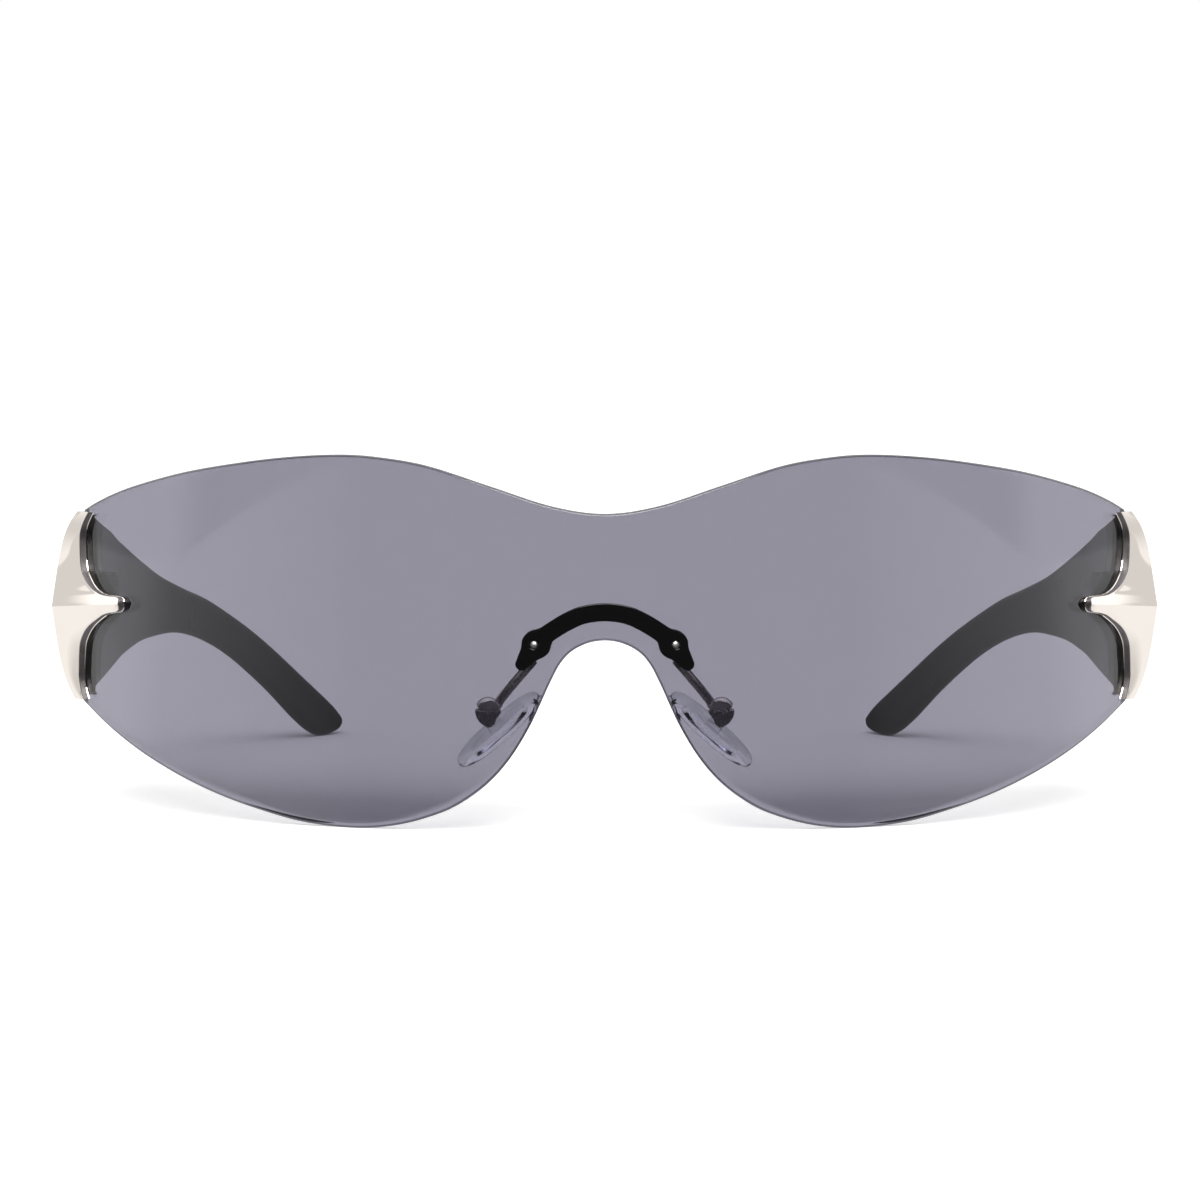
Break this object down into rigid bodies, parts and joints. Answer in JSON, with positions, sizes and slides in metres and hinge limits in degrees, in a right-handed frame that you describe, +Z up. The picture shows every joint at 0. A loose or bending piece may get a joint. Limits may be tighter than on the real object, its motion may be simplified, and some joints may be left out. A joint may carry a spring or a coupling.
{
  "type": "shield sunglasses",
  "caption": "Wrap-around shield sunglasses with a one-piece smoke lens, faceted chrome end pieces, folding black temples and rocking nose pads.",
  "frame": {"origin": "middle of the bottom of the whole object's box, on the table that the lens and the temple tips rest on", "axes": "+X towards the wearer's left, which is on the right seen from the front, +Y from the front of the lens back towards the temple tips, +Z up"},
  "size_m": [0.15, 0.1698, 0.0484],
  "materials": {
    "smoke_lens": "clear smoke grey polycarbonate, polished on both faces",
    "chrome": "bright chrome plating on a faceted casting",
    "black_metal": "gloss black lacquer on metal",
    "black_steel": "black oxide steel",
    "gunmetal": "polished dark nickel",
    "steel": "bright turned steel",
    "black_plastic": "injection moulded nylon, satin gloss black",
    "clear_nylon": "clear nylon",
    "clear_silicone": "clear silicone, soft gloss"
  },
  "bodies": {
    "front": {"lens": "smoke_lens", "bridge_plate": "black_metal", "bridge_screws": "steel", "bridge_bushings": "clear_nylon", "left_end_piece": "chrome", "right_end_piece": "chrome", "left_back_plate": "black_metal", "right_back_plate": "black_metal", "left_end_screw": "steel", "right_end_screw": "steel", "left_hinge_screw": "black_steel", "right_hinge_screw": "black_steel", "left_pad_arm": "gunmetal", "right_pad_arm": "gunmetal", "left_pad_box": "gunmetal", "right_pad_box": "gunmetal", "left_pad_screw": "steel", "right_pad_screw": "steel"},
    "left_side": {"left_hinge_leaf": "black_metal", "left_leaf_rivets": "black_steel", "left_temple": "black_plastic"},
    "right_side": {"right_hinge_leaf": "black_metal", "right_leaf_rivets": "black_steel", "right_temple": "black_plastic"},
    "left_pad": {"left_pad_core": "clear_nylon", "left_nose_pad": "clear_silicone"},
    "right_pad": {"right_pad_core": "clear_nylon", "right_nose_pad": "clear_silicone"}
  },
  "joints": [
    {"name": "left_temple_fold", "type": "hinge", "parent": "front", "child": "left_side", "pos_m": [0.0666, -0.04108, 0.0279], "axis": [0, 0, 1], "range_deg": [0, 84]},
    {"name": "right_temple_fold", "type": "hinge", "parent": "front", "child": "right_side", "pos_m": [-0.0666, -0.04108, 0.0279], "axis": [0, 0, -1], "range_deg": [0, 76]},
    {"name": "left_nose_pad_rock", "type": "hinge", "parent": "front", "child": "left_pad", "pos_m": [0.0152, -0.07387, 0.0144], "axis": [0.1383, 0.9781, 0.1552], "range_deg": [-12, 12]},
    {"name": "right_nose_pad_rock", "type": "hinge", "parent": "front", "child": "right_pad", "pos_m": [-0.0152, -0.07387, 0.0144], "axis": [-0.1383, 0.9781, 0.1552], "range_deg": [-12, 12]}
  ]
}
